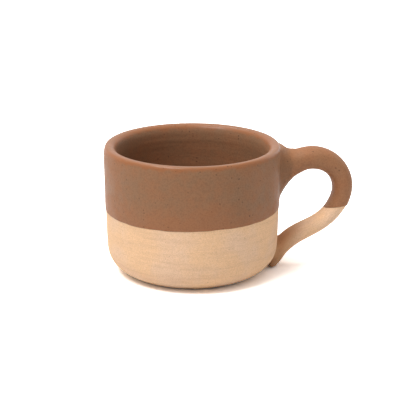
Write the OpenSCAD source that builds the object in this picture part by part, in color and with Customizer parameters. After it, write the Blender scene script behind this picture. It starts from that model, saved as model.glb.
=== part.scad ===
// Stoneware coffee cup with a pulled handle, dipped halfway in a satin glaze.
// The origin is on the cup's axis at the table. The handle points along +X.

/* [Cup] */
// Height from the table to the top of the lip, over the glaze
cup_h = 62; // [50:1:90]
// Outside diameter just under the lip, over the glaze
rim_d = 84; // [70:1:110]
// How far the wall leans in from the lip down to the lower corner
wall_taper = 0.9; // [0:0.1:3]
// Thickness of the clay wall
wall_t = 4.4; // [3:0.2:7]
// Thickness of the clay floor inside the cup
floor_t = 6; // [4:0.5:9]
// Radius of the rounded corner inside the cup
inner_corner_r = 12; // [6:0.5:16]

/* [Lip] */
// Height over which the lip rounds in on the outside
lip_out_h = 8; // [5:0.5:12]
// Height over which the lip rounds out on the inside
lip_in_h = 3.4; // [2:0.2:6]

/* [Foot] */
// How far the foot is set in from the wall
corner_w = 11; // [6:0.5:15]
// Height at which the lower corner has run out into the wall
corner_h = 14; // [8:0.5:20]
// Width of the ring that the cup stands on
foot_w = 5; // [3:0.5:8]
// Depth of the recess turned into the base
recess_h = 1.2; // [0.6:0.1:2]

/* [Handle] */
// How far the handle stands out from the wall
handle_reach = 35.8; // [28:0.2:48]
// How far the top of the handle's arch lies below the lip
arch_drop = 2.5; // [2:0.5:8]
// Gap between the tail's tip and the table
tail_lift = 1; // [0.6:0.2:4]
// Width of the pulled strap, across the handle
strap_w = 13; // [9:0.5:18]
// Thickness of the pulled strap, along the handle's outline
strap_t = 9.4; // [6:0.2:11]
// Width of the flared root under the lip
root_w = 16; // [14:0.5:24]
// Height of the flared root under the lip
root_h = 21; // [14:0.5:24]
// How far the cove on top of the root reaches out from the wall
lip_cove_w = 7; // [3:0.5:9]
// How far the coves at the root's two sides reach out
side_cove_w = 4; // [2:0.5:6]
// How far the cove under the root reaches out
under_cove_w = 2; // [1:0.5:4]
// How far the cove along the tail reaches out
tail_cove_w = 1.4; // [0.6:0.2:2]
// How far below the top of the lip the root's blend stays
lip_clear = 1.2; // [0.8:0.2:2]
// Thickness of the slip that fixes both roots to the wall
slip_t = 0.4; // [0.3:0.1:0.8]

/* [Glaze] */
// Thickness of the fired glaze
glaze_t = 0.3; // [0.2:0.05:0.4]
// Height of the dip line on the cup's axis
dip_line_h = 31.8; // [24:0.2:40]
// Angle by which the dip line climbs towards the handle
dip_tilt = 0.8; // [0:0.1:2]
// Height of the handle's dip line at the outermost point of the handle
handle_line_h = 30.2; // [24:0.2:40]
// Angle by which the handle's dip line climbs outwards
handle_line_tilt = 6.5; // [0:0.5:8]

/* [Hidden] */
$fn = 96;

// Steps along one curve of the cup's profile, and one bay of the handle's spine
curve_steps = 10;
bay_steps = 5;
// The first bays, where the root's cove curves, are split this many times finer
root_bays = 2;
root_finer = 3;
// Points round one section of the strap, and rings in its rounded tip
section_points = 28;
tip_steps = 4;
// How much of a quarter turn the last ring of the tip reaches, so that it isn't a point
tip_turn = 85;
// How square the strap's oval section is: 2 is an ellipse
section_power = 2.3;
// How steeply the coves meet the wall: 0.5 is 45 degrees, 1 is steeper
cove_share = 0.6;
// How far the coves go on growing inside the wall, as a share of their reach
cove_depth_share = 0.25;

// Radii and heights of the bare clay
rim_r = rim_d / 2 - glaze_t;
base_r = rim_r - wall_taper;
foot_r = base_r - corner_w;
top_h = cup_h - glaze_t;
inner_r = rim_r - wall_t;
// The wall thickens downwards, and the lip's crest lies outside its middle
thick_share = 1.15;
crest_share = 0.58;
inner_base_r = base_r - wall_t * thick_share;
crest_r = inner_r + wall_t * crest_share;
// The recess runs out to the ring along a short slope
recess_slope_share = 2;
cut_over = rim_d;
// Height of the handle from the tip of its tail to the top of its arch
handle_h = cup_h - arch_drop - tail_lift;

// Control points of the wall's curves, as shares of each curve's width and height
corner_shares = [[0, 0], [0.58, 0.19], [1, 0.44], [1, 1]];
wall_shares = [[0, 0], [0.7, 0.3], [0.75, 0.65], [1, 1]];
lip_out_shares = [[0, 0], [0, 0.62], [0.32, 1], [1, 1]];
lip_in_shares = [[0, 0], [0.6, 0], [1, 0.4], [1, 1]];

// The handle's spine and section: how far out, how high, how much of the root's flare,
// the strap's thickness and the strap's width, each as a share of its named size
spine_shares = [
    [-0.13, 0.8, 0.95, 1.14, 1],
    [-0.05, 0.82, 0.95, 1.14, 1],
    [0.19, 0.87, 0, 0.98, 1],
    [0.43, 0.92, 0, 1.1, 1],
    [0.71, 0.87, 0, 1, 1],
    [0.87, 0.73, 0, 1.01, 1],
    [0.87, 0.57, 0, 0.88, 1],
    [0.7, 0.41, 0, 0.74, 1],
    [0.48, 0.32, 0, 0.74, 1],
    [0.21, 0.25, 0, 0.84, 1],
    [0.03, 0.15, 0, 0.78, 1],
    [-0.02, 0.08, 0, 0.68, 0.92],
    [-0.06, 0.035, 0, 0.5, 0.85]
];
// Height between the two roots, as a share of the handle's height
between_share = 0.45;
middle_h = tail_lift + handle_h * between_share;

// A point on a cubic curve, and the whole curve after its first point
function cubic(p, t) =
    pow(1 - t, 3) * p[0] + 3 * t * pow(1 - t, 2) * p[1] + 3 * t * t * (1 - t) * p[2] + pow(t, 3) * p[3];
function curve(start, size, shares) =
    let (p = [for (s = shares) [start[0] + size[0] * s[0], start[1] + size[1] * s[1]]])
    [for (i = [1:curve_steps]) cubic(p, i / curve_steps)];

// The outside of the clay from the foot up to the crest of the lip
outer_line = concat(
    [[foot_r, 0]],
    curve([foot_r, 0], [corner_w, corner_h], corner_shares),
    curve([base_r, corner_h], [wall_taper, top_h - lip_out_h - corner_h], wall_shares),
    curve([rim_r, top_h - lip_out_h], [crest_r - rim_r, lip_out_h], lip_out_shares)
);
// The inside of the clay from the crest down to the middle of the floor
inner_corner = [for (i = [0:curve_steps])
    let (a = -90 * i / curve_steps)
    [inner_base_r - inner_corner_r * (1 - cos(a)), floor_t + inner_corner_r * (1 + sin(a))]];
inner_line = concat(
    curve([crest_r, top_h], [inner_r - crest_r, -lip_in_h], lip_in_shares),
    inner_corner,
    [[0, floor_t]]
);
clay_line = concat(outer_line, inner_line);
crest = len(outer_line) - 1;
last = len(clay_line) - 1;

// The clay's line moved out by a coat's thickness, square to the surface
function square_to(p, i) =
    let (d = p[min(i + 1, last)] - p[max(i - 1, 0)])
    [d[1], -d[0]] / norm(d);
function coated(t) = [for (i = [0:last]) clay_line[i] + t * square_to(clay_line, i)];
function part_of(p, from, to) = [for (i = [from:to]) p[i]];
function backwards(p) = [for (i = [len(p) - 1:-1:0]) p[i]];

// A point on a smooth spine through the control points, which it meets at both ends
function control(p, i) =
    i < 0 ? 2 * p[0] - p[1] : i > len(p) - 1 ? 2 * p[len(p) - 1] - p[len(p) - 2] : p[i];
function spine_at(p, i, u) =
    (pow(1 - u, 3) * control(p, i - 1)
        + (3 * pow(u, 3) - 6 * u * u + 4) * control(p, i)
        + (-3 * pow(u, 3) + 3 * u * u + 3 * u + 1) * control(p, i + 1)
        + pow(u, 3) * control(p, i + 2)) / 6;

// Control points in real sizes: distance from the axis, height, thickness and width
spine_controls = [for (s = spine_shares) [
    rim_r + s[0] * handle_reach,
    tail_lift + s[1] * handle_h,
    s[3] * strap_t + s[2] * (root_h - strap_t),
    s[4] * strap_w + s[2] * (root_w - strap_w)
]];
bays = len(spine_controls) - 1;
spine = concat(
    [for (i = [0:bays - 1])
        let (n = i < root_bays ? bay_steps * root_finer : bay_steps)
        for (k = [0:n - 1]) spine_at(spine_controls, i, k / n)],
    [spine_controls[bays]]
);
// Direction of the spine at each point, as a unit vector in the handle's plane
function heading(i) =
    let (d = spine[min(i + 1, len(spine) - 1)] - spine[max(i - 1, 0)])
    [d[0], d[1]] / norm([d[0], d[1]]);
// Each station: centre, heading, thickness and width, with the tip rounded off at the end
function tip_station(k) =
    let (a = tip_turn * k / tip_steps, e = spine[len(spine) - 1], h = heading(len(spine) - 1))
    [[e[0], e[1]] + h * sin(a) * e[2] / 2, h, e[2] * cos(a), e[3] - e[2] * (1 - cos(a))];
stations = concat(
    [for (i = [0:len(spine) - 1]) [[spine[i][0], spine[i][1]], heading(i), spine[i][2], spine[i][3]]],
    [for (k = [1:tip_steps]) tip_station(k)]
);

function oval(c, p) = sign(c) * pow(abs(c), 2 / p);
// The clay's outside radius at a height
function wall_at(z) = lookup(z, [for (p = outer_line) [p[1], p[0]]]);
// How far a cove of reach w stands out from the strap at a distance d from the wall
function cove(d, w) = let (e = w - max(-w * cove_depth_share, min(d, w))) e * e * cove_share / w;
// The cove's reach round the strap: largest on top of the upper root, smallest under it
function cove_w(z, a) = z > middle_h
    ? side_cove_w + pow(cos(a), 2) * ((cos(a) > 0 ? lip_cove_w : under_cove_w) - side_cove_w)
    : tail_cove_w;
// One point of the strap's section, grown by t
function section_point(s, a, t) =
    let (across = oval(cos(a), section_power) * (s[2] / 2 + t),
        side = oval(sin(a), section_power) * (s[3] / 2 + t))
    [s[0][0] - s[1][1] * across, side, s[0][1] + s[1][0] * across];
// One ring of points round the strap, grown by a coat's thickness, with its cove
function ring(s, t) = [for (j = [0:section_points - 1])
    let (a = 360 * j / section_points,
        p = section_point(s, a, t),
        from_wall = norm([p[0], p[1]]) - wall_at(p[2]) - t,
        q = section_point(s, a, t + cove(from_wall, cove_w(s[0][1], a))))
    [q[0], q[1], min(q[2], top_h - lip_clear + t)]];

// The strap as one closed loft through every station, its triangles the same on both sides
module strap(t) {
    n = section_points;
    rings = len(stations);
    points = [for (s = stations) each ring(s, t)];
    sides = [for (i = [0:rings - 2]) for (j = [0:n - 1])
        let (a = i * n + j, b = i * n + (j + 1) % n)
        each j < n / 2 ? [[a, b, a + n], [b, b + n, a + n]] : [[a, b, b + n], [a, b + n, a + n]]];
    start = [for (j = [1:n - 2]) [0, j + 1, j]];
    end = [for (j = [1:n - 2]) let (e = (rings - 1) * n) [e, e + j, e + j + 1]];
    polyhedron(points, concat(start, sides, end));
}

// Everything inside the cup's outer surface, grown by a coat's thickness
module filled_cup(t) {
    rotate_extrude() polygon(concat([[0, 0]], part_of(coated(t), 0, crest), [[0, top_h + t]]));
}

// Half-space below a dip line that has its height at a distance out from the axis
module below(height, tilt, out) {
    translate([out, 0, height]) rotate([0, -tilt, 0])
        translate([-cut_over, -cut_over, -cut_over]) cube([2 * cut_over, 2 * cut_over, cut_over]);
}

// Thrown wall, floor and foot in one, with a recess turned into the base
module vessel_body() {
    ring_r = foot_r - foot_w;
    color("#d6b08a") rotate_extrude() polygon(concat(
        [[0, recess_h], [ring_r - recess_h * recess_slope_share, recess_h], [ring_r, 0]],
        clay_line
    ));
}

// Pulled strap with a flared root under the lip and a tail wiped down the wall
module handle() {
    color("#cf9f78") difference() {
        strap(0);
        filled_cup(slip_t);
    }
}

// The two thin beds of slip between the handle and the wall
module slip_bed() {
    intersection() {
        strap(0);
        difference() {
            filled_cup(slip_t);
            filled_cup(0);
        }
    }
}

module upper_slip_joint() {
    color("#b98d68") difference() {
        slip_bed();
        below(middle_h, 0, 0);
    }
}

module lower_slip_joint() {
    color("#b98d68") intersection() {
        slip_bed();
        below(middle_h, 0, 0);
    }
}

// Dipped coat over the lip and down the wall to the tilted dip line
module outer_glaze_coat() {
    color("#9b6c50") difference() {
        rotate_extrude() polygon(concat(
            part_of(coated(glaze_t), 0, crest), backwards(part_of(clay_line, 0, crest))
        ));
        below(dip_line_h, dip_tilt, 0);
        strap(0);
    }
}

// Coat poured inside, from the crest of the lip to the middle of the floor
module inner_glaze_liner() {
    color("#6b4331") rotate_extrude() polygon(concat(
        part_of(coated(glaze_t), crest, last), backwards(part_of(clay_line, crest, last))
    ));
}

// Dipped coat on the handle, down to its own dip line
module handle_glaze_coat() {
    color("#95684d") difference() {
        strap(glaze_t);
        strap(0);
        filled_cup(glaze_t);
        below(handle_line_h, handle_line_tilt, rim_r + handle_reach);
    }
}

vessel_body();
handle();
upper_slip_joint();
lower_slip_joint();
outer_glaze_coat();
inner_glaze_liner();
handle_glaze_coat();
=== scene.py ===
import math
import bmesh
import bpy
from mathutils import Matrix, Vector


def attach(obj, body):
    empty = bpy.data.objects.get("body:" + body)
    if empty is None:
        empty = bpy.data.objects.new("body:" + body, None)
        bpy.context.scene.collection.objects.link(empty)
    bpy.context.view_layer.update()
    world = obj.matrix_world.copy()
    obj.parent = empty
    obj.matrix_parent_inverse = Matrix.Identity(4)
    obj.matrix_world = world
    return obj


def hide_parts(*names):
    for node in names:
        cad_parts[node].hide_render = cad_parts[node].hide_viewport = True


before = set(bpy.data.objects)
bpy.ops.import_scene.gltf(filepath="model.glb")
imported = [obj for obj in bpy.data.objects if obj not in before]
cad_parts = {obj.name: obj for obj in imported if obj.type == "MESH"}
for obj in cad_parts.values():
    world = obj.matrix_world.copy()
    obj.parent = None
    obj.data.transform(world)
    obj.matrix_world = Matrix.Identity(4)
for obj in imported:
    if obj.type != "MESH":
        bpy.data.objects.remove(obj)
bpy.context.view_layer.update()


# The photograph's view: a long lens a little above the cup, with the handle on the right and
# turned slightly away. The distance, lens and aim come from the cup's own outline.
VIEW_TURN = math.radians(-5)
VIEW_RISE = math.radians(17.486)
VIEW_DISTANCE = 0.68762
LENS_PIXELS = 1434.85
PHOTO_PIXELS = 420
AXIS_AT = (192.37, 206.25)  # the pixel on which the middle of the cup's axis falls
AXIS_MIDDLE = Vector((0, 0, 0.03098))
FILM_WIDTH = 36

aim_side = math.atan((AXIS_AT[0] - PHOTO_PIXELS / 2) / LENS_PIXELS)
aim_up = math.atan((AXIS_AT[1] - PHOTO_PIXELS / 2) / LENS_PIXELS)
back = Vector((math.sin(VIEW_TURN) * math.cos(VIEW_RISE),
               -math.cos(VIEW_TURN) * math.cos(VIEW_RISE), math.sin(VIEW_RISE)))
level = Vector((math.cos(VIEW_TURN), math.sin(VIEW_TURN), 0))
upright = back.cross(level)
right = level * math.cos(aim_side) - back * math.sin(aim_side)
ahead = -level * math.sin(aim_side) - back * math.cos(aim_side)
up = upright * math.cos(aim_up) - ahead * math.sin(aim_up)
look = upright * math.sin(aim_up) + ahead * math.cos(aim_up)

camera = bpy.data.objects.new("camera", bpy.data.cameras.new("camera"))
bpy.context.scene.collection.objects.link(camera)
camera.data.sensor_width = FILM_WIDTH
camera.data.lens = LENS_PIXELS / PHOTO_PIXELS * FILM_WIDTH
camera.data.clip_start = 0.01
camera.matrix_world = Matrix.Translation(AXIS_MIDDLE + back * VIEW_DISTANCE) @ Matrix(
    (right, up, -look)).transposed().to_4x4()
bpy.context.scene.camera = camera
bpy.context.scene.view_settings.view_transform = "Standard"


# The table is a seamless sheet of white paper, and the room round it is white. The camera, and the
# glaze's reflections, see both overexposed to plain white, down to the cup's soft shadow.
PAPER_SIZE = 6.0
PAPER_DEEP = 0.00005  # it lies this far under the foot, so that the two never share a plane
PAPER_BOUNCE = 0.84
PAPER_GAIN = (1.0, 0.7)  # two white sheets added up, for the overexposure
ROOM_LOW, ROOM_HIGH = 0.03, 0.91  # the room's light level with the table, and straight above it
ROOM_TINT = (1, 0.985, 0.97, 1)
WHITE = (1, 1, 1, 1)


def new_material(name):
    """A material, its node tree and its Principled shader."""
    material = bpy.data.materials.new(name)
    material.use_nodes = True
    tree = material.node_tree
    return material, tree, tree.nodes["Principled BSDF"]


def feed(tree, socket, value):
    """Gives a socket a number, a colour or the output of another node."""
    if isinstance(value, (int, float, tuple)):
        socket.default_value = value
    else:
        tree.links.new(value, socket)


def reckon(tree, operation, *values):
    """A Math node on numbers and sockets, and its result."""
    node = tree.nodes.new("ShaderNodeMath")
    node.operation = operation
    for socket, value in zip(node.inputs, values):
        feed(tree, socket, value)
    return node.outputs[0]


def fade(tree, value, low, high, to_low=0, to_high=1, smooth=True):
    """A value spread from one range to another, held at both ends."""
    node = tree.nodes.new("ShaderNodeMapRange")
    node.interpolation_type = "SMOOTHSTEP" if smooth else "LINEAR"
    feed(tree, node.inputs["Value"], value)
    ends = {"From Min": low, "From Max": high, "To Min": to_low, "To Max": to_high}
    for words, number in ends.items():
        feed(tree, node.inputs[words], number)
    return node.outputs["Result"]


def apart(tree, place):
    """The x, y and z of a place."""
    node = tree.nodes.new("ShaderNodeSeparateXYZ")
    feed(tree, node.inputs[0], place)
    return node.outputs


def looked_at(tree):
    """1 for the rays that look at the background: camera, glossy and transmission rays."""
    path = tree.nodes.new("ShaderNodeLightPath")
    looks = reckon(tree, "MAXIMUM", path.outputs["Is Camera Ray"], path.outputs["Is Glossy Ray"])
    return reckon(tree, "MAXIMUM", looks, path.outputs["Is Transmission Ray"])


def mixed(tree, share, first, second):
    """Two shaders mixed by a share."""
    node = tree.nodes.new("ShaderNodeMixShader")
    for socket, value in zip(node.inputs, (share, first, second)):
        feed(tree, socket, value)
    return node.outputs[0]


material, tree, skin = new_material("white_paper")
skin.inputs["Base Color"].default_value = (PAPER_BOUNCE, PAPER_BOUNCE, PAPER_BOUNCE, 1)
skin.inputs["Roughness"].default_value = 1
skin.inputs["Specular IOR Level"].default_value = 0
overexposed = tree.nodes.new("ShaderNodeAddShader")
for socket, gain in zip(overexposed.inputs, PAPER_GAIN):
    sheet = tree.nodes.new("ShaderNodeBsdfDiffuse")
    sheet.inputs["Color"].default_value = (gain, gain, gain, 1)
    tree.links.new(sheet.outputs[0], socket)
seen = mixed(tree, looked_at(tree), skin.outputs[0], overexposed.outputs[0])

# From below the paper is clear, so that it doesn't hide the cup
from_below = tree.nodes.new("ShaderNodeNewGeometry").outputs["Backfacing"]
clear = tree.nodes.new("ShaderNodeBsdfTransparent").outputs[0]
one_sided = mixed(tree, from_below, seen, clear)
tree.links.new(one_sided, tree.nodes["Material Output"].inputs["Surface"])

bm = bmesh.new()
bmesh.ops.create_grid(bm, x_segments=1, y_segments=1, size=PAPER_SIZE / 2)
bmesh.ops.translate(bm, verts=bm.verts, vec=(0, 0, -PAPER_DEEP))
paper_mesh = bpy.data.meshes.new("paper")
bm.to_mesh(paper_mesh)
bm.free()
paper_mesh.materials.append(material)
paper = bpy.data.objects.new("paper", paper_mesh)
bpy.context.scene.collection.objects.link(paper)

room = bpy.data.worlds.new("room")
bpy.context.scene.world = room
room.use_nodes = True
tree = room.node_tree
wall_light = tree.nodes["Background"]
wall_light.inputs["Color"].default_value = ROOM_TINT
skyward = apart(tree, tree.nodes.new("ShaderNodeTexCoord").outputs["Generated"])[2]
feed(tree, wall_light.inputs["Strength"],
     fade(tree, skyward, 0, 1, ROOM_LOW, ROOM_HIGH, smooth=False))
plain_white = tree.nodes.new("ShaderNodeBackground")
plain_white.inputs["Color"].default_value = WHITE
plain_white.inputs["Strength"].default_value = 1
seen = mixed(tree, looked_at(tree), wall_light.outputs[0], plain_white.outputs[0])
tree.links.new(seen, tree.nodes["World Output"].inputs["Surface"])


# Three square soft boxes face the cup: the strongest high in front on the left, a weaker one high
# behind it, and a faint one low behind the handle.
def soft_box(name, place, size, power):
    """A square studio lamp that faces the cup, in metres and watts."""
    lamp = bpy.data.lights.new(name, "AREA")
    lamp.size = size
    lamp.energy = power
    holder = bpy.data.objects.new(name, lamp)
    bpy.context.scene.collection.objects.link(holder)
    place = Vector(place)
    facing = (place - AXIS_MIDDLE).to_track_quat("Z", "Y").to_matrix().to_4x4()
    holder.matrix_world = Matrix.Translation(place) @ facing


soft_box("key_lamp", place=(-0.5, -0.36, 1.22), size=0.55, power=14.1)
soft_box("top_lamp", place=(-0.3, 0.5, 1.25), size=0.6, power=5.2)
soft_box("side_lamp", place=(0.85, 0.6, 0.4), size=0.7, power=1.4)


# The cup's body is one lump of sandy stoneware, thrown on a wheel: a nearly straight wall, a
# fat rounded lip, a soft lower corner and a foot turned hollow. It is left bare below the dip
# line, with fine grain and the faint rings of the maker's fingers.
MM = 0.001  # the cup's sizes are in millimetres from here on
RIM_R = 41.7
TOP_H = 61.7
WALL_TAPER = 0.9
WALL_T = 4.4
WALL_FOOT_SHARE = 1.15  # the wall is this much thicker at its foot
FLOOR_T = 6
INNER_CORNER_R = 12
LIP_OUT_H = 8
LIP_IN_H = 7.5
LIP_SWELL = 1.7  # how far the lip swells inwards
CREST_SHARE = 0.58  # how far out over the wall's thickness the lip's crest lies
CORNER_W = 11
CORNER_H = 14
RECESS_H = 1.2
RECESS_R = 21.2
RECESS_STEP = ((21.9, 1.1), (22.6, 0.85), (23.9, 0.3), (24.5, 0.08))
RING_R = 24.9  # the foot stands on a ring from here outwards
FLOOR_RINGS = (21, 17, 12, 7, 3, 0)
BASE_R = RIM_R - WALL_TAPER
FOOT_R = BASE_R - CORNER_W
INNER_R = RIM_R - WALL_T
INNER_LIP_R = INNER_R - LIP_SWELL
INNER_BASE_R = BASE_R - WALL_T * WALL_FOOT_SHARE
CREST_R = INNER_R + WALL_T * CREST_SHARE
INNER_STEPS = 30
TURN_STEPS = 256
MERGE_WITHIN = 1e-7  # in metres
SHARP_FROM = math.radians(40)


def cubic(points, t):
    """A place on the smooth curve that four points pull at, for t from 0 to 1."""
    pulls = ((1 - t) ** 3, 3 * t * (1 - t) ** 2, 3 * t * t * (1 - t), t ** 3)
    return sum((Vector(p) * pull for p, pull in zip(points, pulls)), Vector((0, 0)))


def sweep(start, size, shares, steps=26):
    """A smooth curve after its first point, from its control points as shares of its size."""
    places = [(start[0] + size[0] * a, start[1] + size[1] * b) for a, b in shares]
    return [tuple(cubic(places, i / steps)) for i in range(1, steps + 1)]


# The outside, from the foot up to the lip's crest
outside = [(FOOT_R, 0)]
outside += sweep((FOOT_R, 0), (CORNER_W, CORNER_H), ((0, 0), (0.58, 0.19), (1, 0.44), (1, 1)))
outside += sweep((BASE_R, CORNER_H), (WALL_TAPER, TOP_H - LIP_OUT_H - CORNER_H),
                 ((0, 0), (0.7, 0.3), (0.75, 0.65), (1, 1)), steps=40)
outside += sweep((RIM_R, TOP_H - LIP_OUT_H), (CREST_R - RIM_R, LIP_OUT_H),
                 ((0, 0), (0, 0.85), (0.1, 1), (1, 1)), steps=34)

# The inside, from the crest down the wall and round the corner to the middle of the floor
lip_foot = TOP_H - LIP_IN_H
wall_foot = FLOOR_T + INNER_CORNER_R
inside = sweep((CREST_R, TOP_H), (INNER_LIP_R - CREST_R, -LIP_IN_H),
               ((0, 0), (0.58, 0), (0.93, 0.16), (1, 1)))
inside += [(INNER_LIP_R + (INNER_BASE_R - INNER_LIP_R) * i / INNER_STEPS,
            lip_foot + (wall_foot - lip_foot) * i / INNER_STEPS) for i in range(1, INNER_STEPS)]
inside += [(INNER_BASE_R - INNER_CORNER_R * (1 - math.cos(turn)),
            wall_foot - INNER_CORNER_R * math.sin(turn))
           for turn in (math.pi / 2 * i / INNER_STEPS for i in range(INNER_STEPS + 1))]
inside += [(r, FLOOR_T) for r in FLOOR_RINGS]
clay_line = outside + inside

# The underside: flat in the recess, down a soft step, and flat under the foot's ring
underneath = [(r, RECESS_H) for r in (0, 6, 12, 18, RECESS_R)]
underneath += RECESS_STEP
underneath += [(r, 0) for r in (RING_R, 27, 29)]


def turned(line, closed=False):
    """A piece turned about the cup's axis, from its outline. An edge on the axis makes no face."""
    bm = bmesh.new()
    points = [bm.verts.new((r * MM, 0, z * MM)) for r, z in line]
    pairs = [(a, b) for a, b in zip(points, points[1:]) if a.co.x or b.co.x]
    if closed:
        pairs.append((points[-1], points[0]))
    edges = [bm.edges.new(pair) for pair in pairs]
    bmesh.ops.spin(bm, geom=points + edges, cent=(0, 0, 0), axis=(0, 0, 1), angle=2 * math.pi,
                   steps=TURN_STEPS, use_merge=True)
    bmesh.ops.remove_doubles(bm, verts=bm.verts, dist=MERGE_WITHIN)
    bmesh.ops.recalc_face_normals(bm, faces=bm.faces)
    return bm


def finished(name, bm, material, nodes):
    """The mesh as a piece of the cup that stands for its CAD nodes."""
    mesh = bpy.data.meshes.new(name)
    bm.to_mesh(mesh)
    bm.free()
    mesh.shade_smooth()
    mesh.set_sharp_from_angle(angle=SHARP_FROM)
    piece = bpy.data.objects.new(name, mesh)
    bpy.context.scene.collection.objects.link(piece)
    mesh.materials.append(material)
    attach(piece, "root")
    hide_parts(*nodes)


def linear(colour):
    """A colour as it is written for a screen, from 0 to 255, as the shader takes it."""
    return tuple(((c / 255 + 0.055) / 1.055) ** 2.4 if c > 10 else c / 255 / 12.92
                 for c in colour) + (1,)


def blend(tree, share, first, second):
    """Two colours mixed by a share."""
    node = tree.nodes.new("ShaderNodeMix")
    node.data_type = "RGBA"
    for number, value in ((0, share), (6, first), (7, second)):
        feed(tree, node.inputs[number], value)
    return node.outputs[2]


def grainy(tree, place, scale, detail=2, roughness=0.5):
    """A plain noise from 0 to 1 over a place, with its scale in patches per metre."""
    node = tree.nodes.new("ShaderNodeTexNoise")
    feed(tree, node.inputs["Vector"], place)
    feed(tree, node.inputs["Scale"], scale)
    feed(tree, node.inputs["Detail"], detail)
    feed(tree, node.inputs["Roughness"], roughness)
    return node.outputs["Fac"]


def over_span(tree, value, span, to_low=0, to_high=1):
    """A value spread over a span in millimetres, held at both ends."""
    return fade(tree, value, span[0] * MM, span[1] * MM, to_low, to_high)


def ragged(tree, value, noise, by):
    """A height or a distance, moved to and fro by a noise, by up to so many millimetres."""
    return reckon(tree, "ADD", value, fade(tree, noise, 0.3, 0.7, -by * MM, by * MM))


def raised(tree, skin, layers):
    """Bump nodes in a row, each a height and how far it stands out in millimetres."""
    normal = None
    for height, depth in layers:
        node = tree.nodes.new("ShaderNodeBump")
        node.inputs["Strength"].default_value = 1
        node.inputs["Distance"].default_value = depth * MM
        tree.links.new(height, node.inputs["Height"])
        if normal:
            tree.links.new(normal, node.inputs["Normal"])
        normal = node.outputs[0]
    tree.links.new(normal, skin.inputs["Normal"])


def effect(name, inputs, outputs):
    """A shader node group with named sockets, and its two ends."""
    group = bpy.data.node_groups.new(name, "ShaderNodeTree")
    for kind, words, value in inputs:
        socket = group.interface.new_socket(words, in_out="INPUT", socket_type="NodeSocket" + kind)
        if value is not None:
            socket.default_value = value
    for kind, words in outputs:
        group.interface.new_socket(words, in_out="OUTPUT", socket_type="NodeSocket" + kind)
    return group, group.nodes.new("NodeGroupInput"), group.nodes.new("NodeGroupOutput")


def use(tree, group, **values):
    """The group placed in a material, with its values and links."""
    node = tree.nodes.new("ShaderNodeGroup")
    node.node_tree = group
    for words, value in values.items():
        feed(tree, node.inputs[words.replace("_", " ")], value)
    return node.outputs[0]


# Faint level rings from the maker's fingers, round the wall, and round the axis on a floor
RING_DRIFT = 0.1  # how much they change on their way round
throwing, given, result = effect(
    "throwing_rings", (("Vector", "Place", None), ("Float", "Rings per metre", 400.0)),
    (("Float", "Height"),))
x, y, z = apart(throwing, given.outputs["Place"])
squares = [reckon(throwing, "MULTIPLY", side, side) for side in (x, y)]
radius = reckon(throwing, "SQRT", reckon(throwing, "ADD", *squares))
round_place = throwing.nodes.new("ShaderNodeCombineXYZ")
sides = [reckon(throwing, "MULTIPLY", side, RING_DRIFT) for side in (x, y)]
sides.append(reckon(throwing, "ADD", z, radius))
for socket, side in zip(round_place.inputs, sides):
    throwing.links.new(side, socket)
streaks = grainy(throwing, round_place.outputs[0], given.outputs["Rings per metre"], detail=3)
throwing.links.new(streaks, result.inputs["Height"])

# Small specks of iron in the clay, some seen through the glaze
SPECK_RARITY = 4.0  # the higher it is, the fewer specks are large
SPECK_LEAST = 0.002  # so that nothing is divided by zero
specks, given, result = effect(
    "iron_specks", (("Vector", "Place", None), ("Float", "Specks per metre", 500.0),
                    ("Float", "Size", 0.12)), (("Float", "Speck"),))
cells = specks.nodes.new("ShaderNodeTexVoronoi")
specks.links.new(given.outputs["Place"], cells.inputs["Vector"])
specks.links.new(given.outputs["Specks per metre"], cells.inputs["Scale"])
chance = specks.nodes.new("ShaderNodeSeparateColor")
specks.links.new(cells.outputs["Color"], chance.inputs[0])
luck = reckon(specks, "POWER", chance.outputs[0], SPECK_RARITY)
reach = reckon(specks, "MULTIPLY", given.outputs["Size"], luck)
out_from = reckon(specks, "DIVIDE", cells.outputs["Distance"],
                  reckon(specks, "ADD", reach, SPECK_LEAST))
specks.links.new(fade(specks, out_from, 0.75, 1.25, 1, 0), result.inputs["Speck"])

CLAY = (231, 195, 163)
CLAY_WARM = (235, 194, 153)
CLAY_GREY = (208, 170, 138)
CLAY_SAND = (244, 214, 186)
CLAY_SPECK = (152, 116, 88)
# Painted shade: the handle's clay darker and browner in the corner where it meets the wall
CLAY_JOINT_SHADE = (186, 134, 92)
JOINT_SHADE_SPAN = (41, 55)  # out from the axis, where the handle's painted shade by the wall fades away
JOINT_RAGGED = 2


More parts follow.
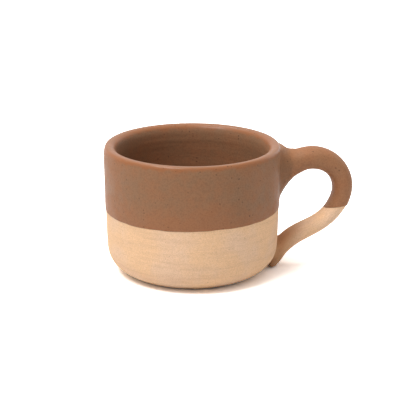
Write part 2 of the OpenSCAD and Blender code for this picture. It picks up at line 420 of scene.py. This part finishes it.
def bare_clay(name, tint=(1, 1, 1), joint_shade=0.0, pulled=False):
    """Fired sandy clay, thrown or pulled, with so much painted shade where it joins the wall."""
    material, tree, skin = new_material(name)
    place = tree.nodes.new("ShaderNodeTexCoord").outputs["Object"]

    def shade(colour):
        return tuple(min(1, c * t) for c, t in zip(linear(colour), tint + (1,)))

    if pulled:
        marks = tree.nodes.new("ShaderNodeAttribute")
        marks.attribute_name = "pull"
        rings = grainy(tree, marks.outputs["Vector"], 14, 4, 0.6)
        lines = grainy(tree, marks.outputs["Vector"], 34, 3, 0.6)
    else:
        rings = use(tree, throwing, Place=place, Rings_per_metre=400)
        lines = use(tree, throwing, Place=place, Rings_per_metre=1500)
    clouds = grainy(tree, place, 55, 3)
    grain = grainy(tree, place, 1900, 3, 0.65)
    sand = grainy(tree, place, 800, 2, 0.6)
    speck = use(tree, specks, Place=place, Specks_per_metre=520, Size=0.16)
    colour = blend(tree, fade(tree, clouds, 0.38, 0.62), shade(CLAY), shade(CLAY_WARM))
    # What lies over that colour, each by how much it covers and its own colour
    layers = [(fade(tree, rings, 0.48, 0.74, 0, 0.34), CLAY_GREY),
              (fade(tree, lines, 0.34, 0.54, 0.08, 0), CLAY_SPECK),
              (fade(tree, grain, 0.3, 0.65, 0.27, 0), CLAY_SPECK),
              (fade(tree, sand, 0.55, 0.75, 0, 0.2), CLAY_SAND),
              (reckon(tree, "MULTIPLY", speck, 0.55), CLAY_SPECK)]
    # Painted shade in the corner between the handle and the wall, darkest next to the wall
    if joint_shade:
        near = ragged(tree, apart(tree, place)[0], clouds, JOINT_RAGGED)
        layers.append((over_span(tree, near, JOINT_SHADE_SPAN, joint_shade, 0), CLAY_JOINT_SHADE))
    for share, tone in layers:
        colour = blend(tree, share, colour, shade(tone))
    tree.links.new(colour, skin.inputs["Base Color"])
    tree.links.new(fade(tree, sand, 0.3, 0.7, 0.78, 0.92), skin.inputs["Roughness"])
    skin.inputs["Specular IOR Level"].default_value = 0.25
    raised(tree, skin, ((rings, 0.12), (lines, 0.02), (sand, 0.06), (grain, 0.04)))
    return material


finished("thrown_body", turned(underneath + clay_line), bare_clay("bare_stoneware"),
         ["vessel_body"])


# The outside glaze: the fired cup's upper half dipped in a satin brown glaze, a quarter of a
# millimetre thick, from the crest of the lip down to a slightly tilted, uneven dip line. It
# breaks to orange brown on the lip and turns redder where it runs thin at its edge.
GLAZE_T = 0.25
SUNK = 0.08  # how far a coat's hidden side reaches into the clay
DIP_H = 31.8
DIP_TILT = math.radians(0.8)
DIP_WAVES = (  # how many round the cup, where they start, how high
    (3, 0.4, 0.10), (5, 2.1, 0.07), (9, 1.2, 0.06), (16, 4.0, 0.05), (27, 0.3, 0.035))
DIP_REACH = 7.0  # how far up the waves are felt in the mesh
DIP_EDGE = ((0.0, 0.02), (0.02, 0.10), (0.09, 0.18), (0.22, 0.23), (0.45, 0.25))  # up, thickness
EDGE_CLEAR = 0.9  # the rounded edge ends under this height over the line

GLAZE_GREY = (135, 100, 73)
GLAZE_RED = (147, 100, 69)
GLAZE_BREAK = (148, 93, 57)
GLAZE_PALE = (173, 117, 79)
GLAZE_SPECK = (78, 54, 40)
# Painted shade: a darker brown for the cove beside the handle's root, where the lip's shadow falls
GLAZE_ROOT_SHADE = (104, 78, 56)
RED_EDGE_H = 12
BREAK_SPAN = (59.2, 61)  # up the lip, where the glaze breaks more and more
CREST_SPAN = (61.4, 61.9)  # and less again on the crest
GLOSS_SPAN = (59.7, 61.6)
ROOT_SHADE_SPAN = (45.2, 48.4)  # out from the axis, the painted shade beside the handle's root, darkest by the wall
ROOT_SHADE_TOP_SPAN = (53, 60)
GLAZE_RAGGED = 0.5


def satin_glaze(name, lip_break=0.0, red_edge=0.0, rings_deep=0.1, paler=0.0, root_shade=0.0):
    """The mottled brown glaze: broken on the lip, redder at its edge, paler, or given painted shade
    beside the handle's root, each by its share, over throwing rings so many millimetres deep."""
    material, tree, skin = new_material(name)
    place = tree.nodes.new("ShaderNodeTexCoord").outputs["Object"]
    out_by, _, height = apart(tree, place)
    clouds = grainy(tree, place, 42, 3, 0.55)
    mottle = grainy(tree, place, 210, 3, 0.6)
    rings = use(tree, throwing, Place=place, Rings_per_metre=330)
    skin_dots = grainy(tree, place, 1400, 2)
    speck = use(tree, specks, Place=place, Specks_per_metre=560, Size=0.24)
    lip = over_span(tree, height, GLOSS_SPAN)

    share = reckon(tree, "ADD", fade(tree, clouds, 0.36, 0.64, 0, 0.5),
                   fade(tree, mottle, 0.35, 0.65, 0, 0.4))
    if red_edge:
        edge = over_span(tree, height, (DIP_H, DIP_H + RED_EDGE_H), red_edge, 0)
        share = reckon(tree, "ADD", share, edge)
    first, second = (tuple(c + paler * (to - c) for c, to in zip(linear(near), linear(GLAZE_PALE)))
                     for near in (GLAZE_GREY, GLAZE_RED))
    colour = blend(tree, fade(tree, share, 0, 1, smooth=False), first, second)
    layers = []
    if lip_break:
        uneven = ragged(tree, height, mottle, GLAZE_RAGGED)
        thin = reckon(tree, "MULTIPLY", over_span(tree, uneven, BREAK_SPAN, 0, lip_break),
                      over_span(tree, uneven, CREST_SPAN, 1, 0.4))
        layers.append((thin, GLAZE_BREAK))
    # Painted shade in the cove beside the handle's root: darkest next to the wall, and fading
    # towards the lip
    if root_shade:
        uneven = ragged(tree, out_by, mottle, GLAZE_RAGGED)
        thick = reckon(tree, "MULTIPLY", over_span(tree, uneven, ROOT_SHADE_SPAN, root_shade, 0),
                       over_span(tree, height, ROOT_SHADE_TOP_SPAN, 1, 0.2))
        layers.append((thick, GLAZE_ROOT_SHADE))
    layers.append((reckon(tree, "MULTIPLY", speck, 0.6), GLAZE_SPECK))
    dots = reckon(tree, "MULTIPLY", fade(tree, skin_dots, 0.3, 0.62, 0.2, 0),
                  fade(tree, lip, 0, 1, 1, 0.25))
    layers.append((dots, GLAZE_SPECK))
    for share, tone in layers:
        colour = blend(tree, share, colour, linear(tone))
    tree.links.new(colour, skin.inputs["Base Color"])

    satin = fade(tree, mottle, 0.3, 0.7, 0.55, 0.65)
    polish = reckon(tree, "MULTIPLY", lip, 0.16)
    tree.links.new(reckon(tree, "SUBTRACT", satin, polish), skin.inputs["Roughness"])
    tree.links.new(fade(tree, lip, 0, 1, 0.01, 0.2), skin.inputs["Coat Weight"])
    skin.inputs["Coat Roughness"].default_value = 0.14
    skin.inputs["Specular IOR Level"].default_value = 0.18
    raised(tree, skin, ((rings, rings_deep), (mottle, 0.08), (skin_dots, 0.01)))
    return material


def coated(line, thickness):
    """The same line moved out square to itself by a coat's thickness."""
    moved = []
    for i, point in enumerate(line):
        run = Vector(line[min(i + 1, len(line) - 1)]) - Vector(line[max(i - 1, 0)])
        run.normalize()
        moved.append((point[0] + run[1] * thickness, point[1] - run[0] * thickness))
    return moved


def eased(share):
    """A share from 0 to 1 with a soft start and a soft end."""
    share = min(1, max(0, share))
    return share * share * (3 - 2 * share)


def dip_wave(x, y):
    """How far the dip line lies over its height at the axis, at a place round the cup."""
    turn = math.atan2(y, x)
    waves = sum(size * math.sin(count * turn + start) for count, start, size in DIP_WAVES)
    return x / MM * math.tan(DIP_TILT) + waves


crest = len(outside) - 1
line_r = next(r for r, z in outside if z > DIP_H)
clear_of_edge = next(i for i, (r, z) in enumerate(outside) if z > DIP_H + EDGE_CLEAR)
outer_side = [(line_r - SUNK, DIP_H)] + [(line_r + thick, DIP_H + rise) for rise, thick in DIP_EDGE]
outer_side += coated(clay_line, GLAZE_T)[clear_of_edge:crest + 1]
hidden_side = coated(clay_line, -SUNK)[clear_of_edge:crest + 1]
bm = turned(outer_side + hidden_side[::-1], closed=True)
for v in bm.verts:
    share = eased(1 - (v.co.z / MM - DIP_H) / DIP_REACH)
    v.co.z += dip_wave(v.co.x, v.co.y) * MM * share
finished("dipped_glaze", bm, satin_glaze("satin_brown_glaze", lip_break=0.85, red_edge=0.5),
         ["outer_glaze_coat"])


# The inside glaze: the same glaze poured in and out again, from the crest of the lip down to the
# floor. Fine level rings show through it, because it lies thin over the thrown marks.
outer_side = coated(clay_line, GLAZE_T)[crest:]
hidden_side = coated(clay_line, -SUNK)[crest:]
finished("poured_liner", turned(outer_side + hidden_side[::-1], closed=True),
         satin_glaze("satin_brown_liner", lip_break=0.85, rings_deep=0.2),
         ["inner_glaze_liner"])


# The handle is a strap pulled from wet clay: flared and wiped onto the wall under the lip, arched
# out for one finger, and drawn thinner down to a tail that is wiped onto the wall near the foot.
HANDLE_REACH = 35.8
HANDLE_H = 58.5
TAIL_LIFT = 1
STRAP_W = 13
STRAP_T = 9.4
ROOT_W = 16
ROOT_H = 21
SECTION_POWER = 2.3  # 2 is an oval, and more is squarer
SECTION_POINTS = 80
LIP_CLEAR = 0.35  # the root's blend stays this far under the crest
LIP_SOFT = 2.2  # and turns level over this height
TOP_COVE = Vector((4.6, 5.6))  # how far out along the strap, how wide
SIDE_COVE = Vector((8, 5))
UNDER_COVE = Vector((13.5, 5.2))
TAIL_COVE = 1.4
TAIL_INNER_COVE = 2.6
COVE_FILL = 0.75  # how fully the tail's coves fill its corner with the wall
INNER_SIDE = 1.6  # the higher it is, the more of the tail's girth has the inner cove
SPINE = (  # how far out, how high, root's flare, thickness, width, as shares of the sizes above
    (-0.13, 0.8, 0.95, 1.14, 1), (-0.05, 0.82, 0.95, 1.14, 1), (0.19, 0.87, 0, 0.98, 1),
    (0.43, 0.9225, 0, 1.12, 1), (0.71, 0.8715, 0, 1.03, 1), (0.8665, 0.73, 0, 1.03, 1),
    (0.866, 0.57, 0, 0.91, 1), (0.7, 0.41, 0, 0.79, 1), (0.48, 0.32, 0, 0.8, 1),
    (0.21, 0.25, 0, 0.85, 1), (0.03, 0.15, 0, 0.78, 1), (-0.025, 0.075, 0, 0.68, 0.95),
    (-0.075, 0.029, 0, 0.56, 0.92))
SPINE_END = len(SPINE) - 1
SPINE_NEAR = 0.02  # the heading is taken from places this far before and behind
ROOT_BETWEEN = (0, 3.2)  # the root lies between these places on the spine
ROOT_RINGS = 36
ROOT_OUT = 13.5  # they reach this far off the wall
ROOT_INSIDE = (-0.5, -0.05)  # the first two rings lie inside the wall
ROOT_CLOSER = 1.8  # the higher it is, the closer the rings are to the wall
ROOT_HOLD, ROOT_LET_GO = 4, 6  # rings follow the wall's curve so far out, then less and less
ROOT_SLIDES = 4  # how often a point slides along the strap to its distance off the wall
RINGS_EACH = 16  # for each place on the spine
TIP_RINGS = 8
TIP_TURN = math.radians(87)
PULL_LENGTH = 180  # the length on which the pull marks are drawn out
HALVINGS = 40
TURNS = [2 * math.pi * j / SECTION_POINTS for j in range(SECTION_POINTS)]

spine_points = [Vector((RIM_R + out * HANDLE_REACH, TAIL_LIFT + rise * HANDLE_H,
                        thick * STRAP_T + flare * (ROOT_H - STRAP_T),
                        wide * STRAP_W + flare * (ROOT_W - STRAP_W)))
                for out, rise, flare, thick, wide in SPINE]
spine_points.insert(0, 2 * spine_points[0] - spine_points[1])
spine_points.append(2 * spine_points[-1] - spine_points[-2])


def spine_at(t):
    """The smooth curve that the spine's points pull at."""
    i = min(int(t), SPINE_END - 1)
    u = t - i
    a, b, c, d = spine_points[i:i + 4]
    return ((1 - u) ** 3 * a + (3 * u ** 3 - 6 * u * u + 4) * b
            + (-3 * u ** 3 + 3 * u * u + 3 * u + 1) * c + u ** 3 * d) / 6


def strap_at(t):
    """Centre, heading, thickness and width of the strap, at a place from 0 to SPINE_END."""
    x, z, thick, wide = spine_at(t)
    step = spine_at(min(t + SPINE_NEAR, SPINE_END)) - spine_at(max(t - SPINE_NEAR, 0))
    return Vector((x, z)), Vector((step[0], step[1])).normalized(), thick, wide


def in_space(flat):
    """A place or a heading in the handle's upright plane, as one in space."""
    return Vector((flat[0], 0, flat[1]))


def radius_at(z):
    """The bare clay's outside radius at a height."""
    if z <= 0:
        return outside[0][0]
    for (r0, z0), (r1, z1) in zip(outside, outside[1:]):
        if z0 <= z <= z1:
            return r0 + (r1 - r0) * (z - z0) / max(1e-9, z1 - z0)
    return outside[-1][0]


def off_wall(p, coat):
    """How far a point is from the cup's side, over its coat."""
    return math.hypot(p[0], p[1]) - radius_at(p[2]) - coat


def oval(side):
    """A side of a circle drawn out to the strap's squarer oval."""
    return math.copysign(abs(side) ** (2 / SECTION_POWER), side)


def section(centre, heading, thick, wide, turn, grow):
    """A point of the strap's oval section, grown square to its outline."""
    across = oval(math.cos(turn)) * (thick / 2 + grow)
    side = oval(math.sin(turn)) * (wide / 2 + grow)
    return Vector((centre[0] - heading[1] * across, side, centre[1] + heading[0] * across))


def last_short(between, short):
    """The place on the spine up to which a test holds, found by halving."""
    low, high = between
    for _ in range(HALVINGS):
        middle = (low + high) / 2
        if short(middle):
            low = middle
        else:
            high = middle
    return low


def below_lip(p, coat):
    """Keeps the root's blend a little under the top of the lip, with a soft turn."""
    room_left = (TOP_H - LIP_CLEAR + coat) - p[2]
    if room_left <= -LIP_SOFT:
        p[2] += room_left
    elif room_left < LIP_SOFT:
        p[2] -= LIP_SOFT * (1 - room_left / LIP_SOFT) ** 2 / 4
    return p


def root_ring(off, coat, inset=0):
    """A ring of the upper root that lies a set distance off the wall, all the way round."""
    place = last_short(ROOT_BETWEEN, lambda t: off_wall(in_space(strap_at(t)[0]), coat) < off)
    centre, heading, thick, wide = strap_at(place)
    follow = 1 - eased((off - ROOT_HOLD) / ROOT_LET_GO)
    ring = []
    for turn in TURNS:
        upper_or_under = TOP_COVE if math.cos(turn) > 0 else UNDER_COVE
        reach, width = SIDE_COVE.lerp(upper_or_under, math.cos(turn) ** 2)
        share = min(1, max(0, 1 - off / reach))
        grow = width * (1 - math.sqrt(1 - share * share)) if off > 0 else width - off
        p = section(centre, heading, thick, wide, turn, coat + grow - inset)
        for _ in range(ROOT_SLIDES):
            p = p + in_space(heading) * ((off - off_wall(p, coat)) * follow)
            p = below_lip(p, coat)
        ring.append(p)
    return place, ring


def strap_ring(t, coat):
    """A ring square to the strap, with the tail's cove where it lies along the wall."""
    centre, heading, thick, wide = strap_at(t)
    ring = []
    for turn in TURNS:
        p = section(centre, heading, thick, wide, turn, coat)
        if t > SPINE_END / 2:
            inner = eased(-math.cos(turn) * INNER_SIDE)
            cove = TAIL_COVE + (TAIL_INNER_COVE - TAIL_COVE) * inner
            off = max(-cove / 4, min(cove, off_wall(p, coat)))
            fill = COVE_FILL * (cove - off) ** 2 / cove
            p = section(centre, heading, thick, wide, turn, coat + fill)
        ring.append(p)
    return ring


def root_rings(coat, until):
    """The root's rings, and the places on the spine where the strap's rings follow."""
    first, second = ROOT_INSIDE
    steps = [first] + [second + (ROOT_OUT - second) * (k / ROOT_RINGS) ** ROOT_CLOSER
                       for k in range(ROOT_RINGS + 1)]
    rings = []
    for off in steps:
        place, ring = root_ring(off, coat)
        rings.append(ring)
    count = int((until - place) * RINGS_EACH)
    return rings, [place + (until - place) * k / count for k in range(1, count + 1)]


def tip_rings():
    """The tail's rounded end."""
    centre, heading, thick, wide = strap_at(SPINE_END)
    rings = []
    for k in range(1, TIP_RINGS + 1):
        tip = TIP_TURN * k / TIP_RINGS
        middle = centre + heading * math.sin(tip) * thick / 2
        rings.append([section(middle, heading, thick * math.cos(tip),
                              wide - thick * (1 - math.cos(tip)), turn, 0) for turn in TURNS])
    return rings


def lofted(rings, closed=False):
    """A skin over the rings: a circle of vertices is extruded from one ring to the next. Each
    vertex keeps its place round and along the strap, for the marks that the potter's hand left."""
    bm = bmesh.new()
    pull = bm.verts.layers.float_vector.new("pull")

    def lay(loop, ring, length):
        for v, p, turn in zip(loop, ring, TURNS):
            v.co = p * MM
            v[pull] = (math.cos(turn), math.sin(turn), length)

    loop = list(bmesh.ops.create_circle(bm, segments=SECTION_POINTS, radius=MM)["verts"])
    first_edges = edges = list(bm.edges)
    length = 0
    lay(loop, rings[0], length)
    for before, ring in zip(rings, rings[1:]):
        made = bmesh.ops.extrude_edge_only(bm, edges=edges)["geom"]
        fresh = {v for v in made if isinstance(v, bmesh.types.BMVert)}
        edges = [e for e in made if isinstance(e, bmesh.types.BMEdge) and fresh.issuperset(e.verts)]
        loop = [next(e.other_vert(v) for e in v.link_edges if e.other_vert(v) in fresh)
                for v in loop]
        moved = sum(ring, Vector()) / len(ring) - sum(before, Vector()) / len(before)
        length += moved.length / PULL_LENGTH
        lay(loop, ring, length)
    if closed:
        bmesh.ops.bridge_loops(bm, edges=first_edges + edges)
    else:
        bmesh.ops.holes_fill(bm, edges=bm.edges, sides=0)
    bmesh.ops.recalc_face_normals(bm, faces=bm.faces)
    return bm


rings, places = root_rings(0, SPINE_END)
rings += [strap_ring(t, 0) for t in places]
finished("pulled_handle", lofted(rings + tip_rings()),
         bare_clay("bare_handle_clay", joint_shade=0.7, pulled=True), ["handle"])


# The handle's glaze was dipped with the cup, so it ends nearly level on the strap's outer bend. It
# is a skin of the same satin brown, rounded at its edge, and it runs up the root to the lip.
LINE_H = 30.2
LINE_TILT = math.radians(6.5)
LINE_LEAN = 0.2  # it falls by this share of the way to the far side
LINE_REACH = 10.0  # the rings turn to the line over this length
LINE_BETWEEN = (4, 8)  # the dip line crosses the strap between these places on the spine
HIDDEN_EACH = 4  # the hidden side keeps one ring in four


def line_height(x, y):
    """Height of the handle's dip line over a place."""
    return LINE_H + (x - RIM_R - HANDLE_REACH) * math.tan(LINE_TILT) - LINE_LEAN * y


def short_of_line(p, heading):
    """How far along the strap a point still is from the dip line."""
    fall = heading[1] - heading[0] * math.tan(LINE_TILT)
    return (line_height(p[0], p[1]) - p[2]) / fall


def over_line(t):
    """Whether the strap's middle is still over the dip line."""
    x, z = strap_at(t)[0]
    return z > line_height(x, 0)


line_t = last_short(LINE_BETWEEN, over_line)


def glaze_rings(coat):
    """The strap's rings, turned little by little until the last lies on the dip line."""
    rings, places = root_rings(coat, line_t)
    for t in places:
        centre, heading = strap_at(t)[:2]
        ring = strap_ring(t, coat)
        if t > LINE_BETWEEN[0]:
            middle = short_of_line(in_space(centre), heading)
            share = 1 - eased(middle / LINE_REACH)
            ring = [p + in_space(heading) * (short_of_line(p, heading) - middle) * share
                    for p in ring]
        rings.append(ring)
    return rings


def edge_rings():
    """The glaze's rounded edge on the dip line."""
    centre, heading, thick, wide = strap_at(line_t)
    rings = []
    for back_by, coat in DIP_EDGE[::-1] + ((0, -SUNK),):
        ring = [section(centre, heading, thick, wide, turn, coat) for turn in TURNS]
        rings.append([p + in_space(heading) * (short_of_line(p, heading) - back_by) for p in ring])
    return rings


outer_rings = glaze_rings(GLAZE_T)[:-1]
hidden_rings = glaze_rings(-SUNK)[::-1][1::HIDDEN_EACH]
finished("handle_glaze", lofted(outer_rings + edge_rings() + hidden_rings, closed=True),
         satin_glaze("satin_brown_handle_glaze", rings_deep=0.02, paler=0.28, root_shade=0.45),
         ["handle_glaze_coat"])


# Slip, the clay let down with water that sticks the handle on, fills the joint under both roots.
# The upper bed lies hidden under the root's blend. A hair of the lower bed shows along the tail,
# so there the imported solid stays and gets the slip's colour.
SLIP_TINT = (0.93, 0.9, 0.88)
BED_INSET = 1.2
BED_STEPS = (0.02, 0.15, 0.3, 0.4)
slip_clay = bare_clay("fired_slip", SLIP_TINT)
finished("slip_bed", lofted([root_ring(off, 0, BED_INSET)[1] for off in BED_STEPS]), slip_clay,
         ["upper_slip_joint"])
for packed_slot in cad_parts["lower_slip_joint"].material_slots:
    packed_slot.material = slip_clay
